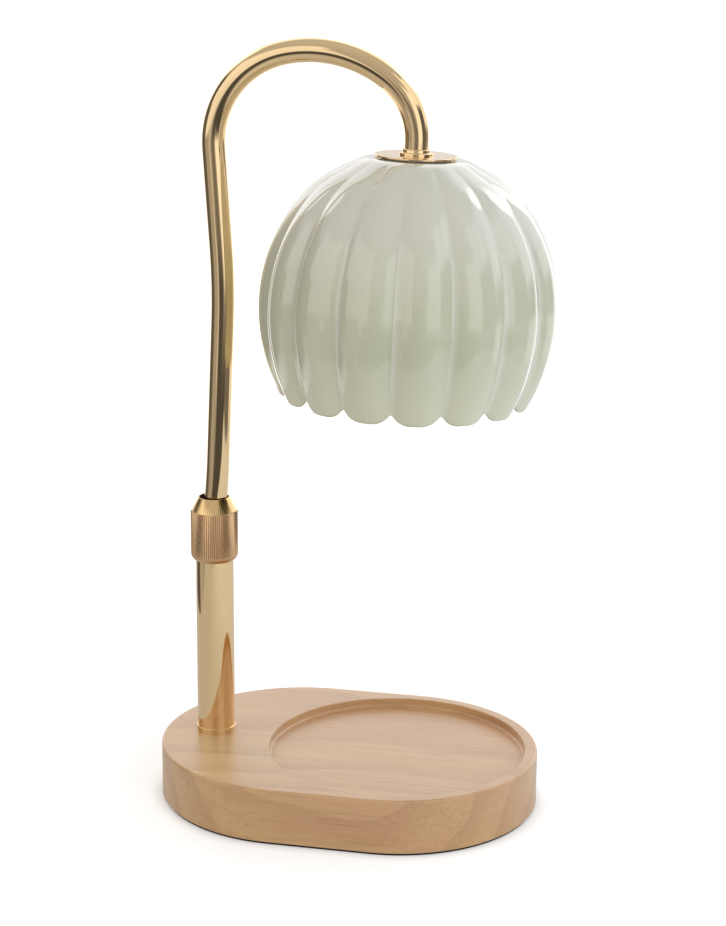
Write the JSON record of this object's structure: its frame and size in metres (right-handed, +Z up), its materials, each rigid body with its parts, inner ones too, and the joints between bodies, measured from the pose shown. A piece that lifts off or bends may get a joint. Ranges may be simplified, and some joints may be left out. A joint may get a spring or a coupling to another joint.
{
  "type": "candle warmer lamp",
  "caption": "Table lamp that melts a jar candle from above: stadium base with a round seat, clamped sliding swan-neck arm and a ribbed glass shade over a twist-in reflector bulb.",
  "frame": {"origin": "centre of the base's underside, on the table", "axes": "+X from the post to the candle seat, -Y to the front, +Z up"},
  "size_m": [0.1655, 0.1224, 0.3204],
  "materials": {
    "wood": "oiled light wood, fine pores",
    "pad_black": "thin black foam pad",
    "gland_black": "moulded black bush",
    "polished_gold": "polished pale gold plating",
    "satin_gold": "knurled satin gold",
    "raw_brass": "turned brass",
    "zinc_steel": "zinc-plated steel",
    "gasket_white": "silicone washer",
    "sage_glass": "cased sage glass under clear glass",
    "ceramic": "white steatite ceramic",
    "bulb_glass": "pressed reflector glass",
    "clear_glass": "clear glass",
    "tungsten": "tungsten wire",
    "lead_sheath": "heat-resistant sheath",
    "block_nylon": "white nylon"
  },
  "bodies": {
    "base": {"base_block": "wood", "base_pad": "pad_black", "cord_gland": "gland_black", "post_tube": "polished_gold", "foot_ring": "polished_gold", "post_plug": "raw_brass", "post_stud": "zinc_steel", "post_washer": "zinc_steel", "post_nut": "zinc_steel", "base_lead": "lead_sheath", "post_lead": "lead_sheath", "terminal_block": "block_nylon", "terminal_screws": "zinc_steel"},
    "grip_nut": {"clamp_nut": "satin_gold"},
    "collar": {"collet": "raw_brass"},
    "arm": {"arm_tube": "polished_gold", "guide_bush": "raw_brass", "arm_lead": "lead_sheath", "neck_ferrule": "polished_gold", "shade_cap": "polished_gold", "cap_gasket": "gasket_white", "inner_gasket": "gasket_white", "clamp_washer": "zinc_steel", "head_nut": "zinc_steel", "head_nipple": "zinc_steel", "glass_shade": "sage_glass", "socket_cup": "polished_gold", "socket_nut": "zinc_steel", "socket_body": "ceramic", "contact_clips": "raw_brass", "socket_screws": "zinc_steel"},
    "bulb": {"bulb_reflector": "bulb_glass", "bulb_pins": "zinc_steel", "bulb_lens": "clear_glass", "bulb_capsule": "clear_glass", "bulb_filament": "tungsten"}
  },
  "joints": [
    {"name": "clamp_nut_turn", "type": "hinge", "parent": "base", "child": "grip_nut", "pos_m": [-0.0591, 0, 0.11], "axis": [0, 0, 1], "range_deg": [0, 270]},
    {"name": "arm_swivel", "type": "hinge", "parent": "base", "child": "collar", "pos_m": [-0.0591, 0, 0.11], "axis": [0, 0, 1], "range_deg": [-90, 90]},
    {"name": "arm_height", "type": "slide", "parent": "collar", "child": "arm", "axis": [0, 0, 1], "range_m": [0, 0.0475], "deforming": ["post_lead"]},
    {"name": "bulb_twist", "type": "hinge", "parent": "arm", "child": "bulb", "pos_m": [0.02591, 0, 0.27466], "axis": [-0.0366, 0, -0.9993], "range_deg": [0, 22]}
  ]
}
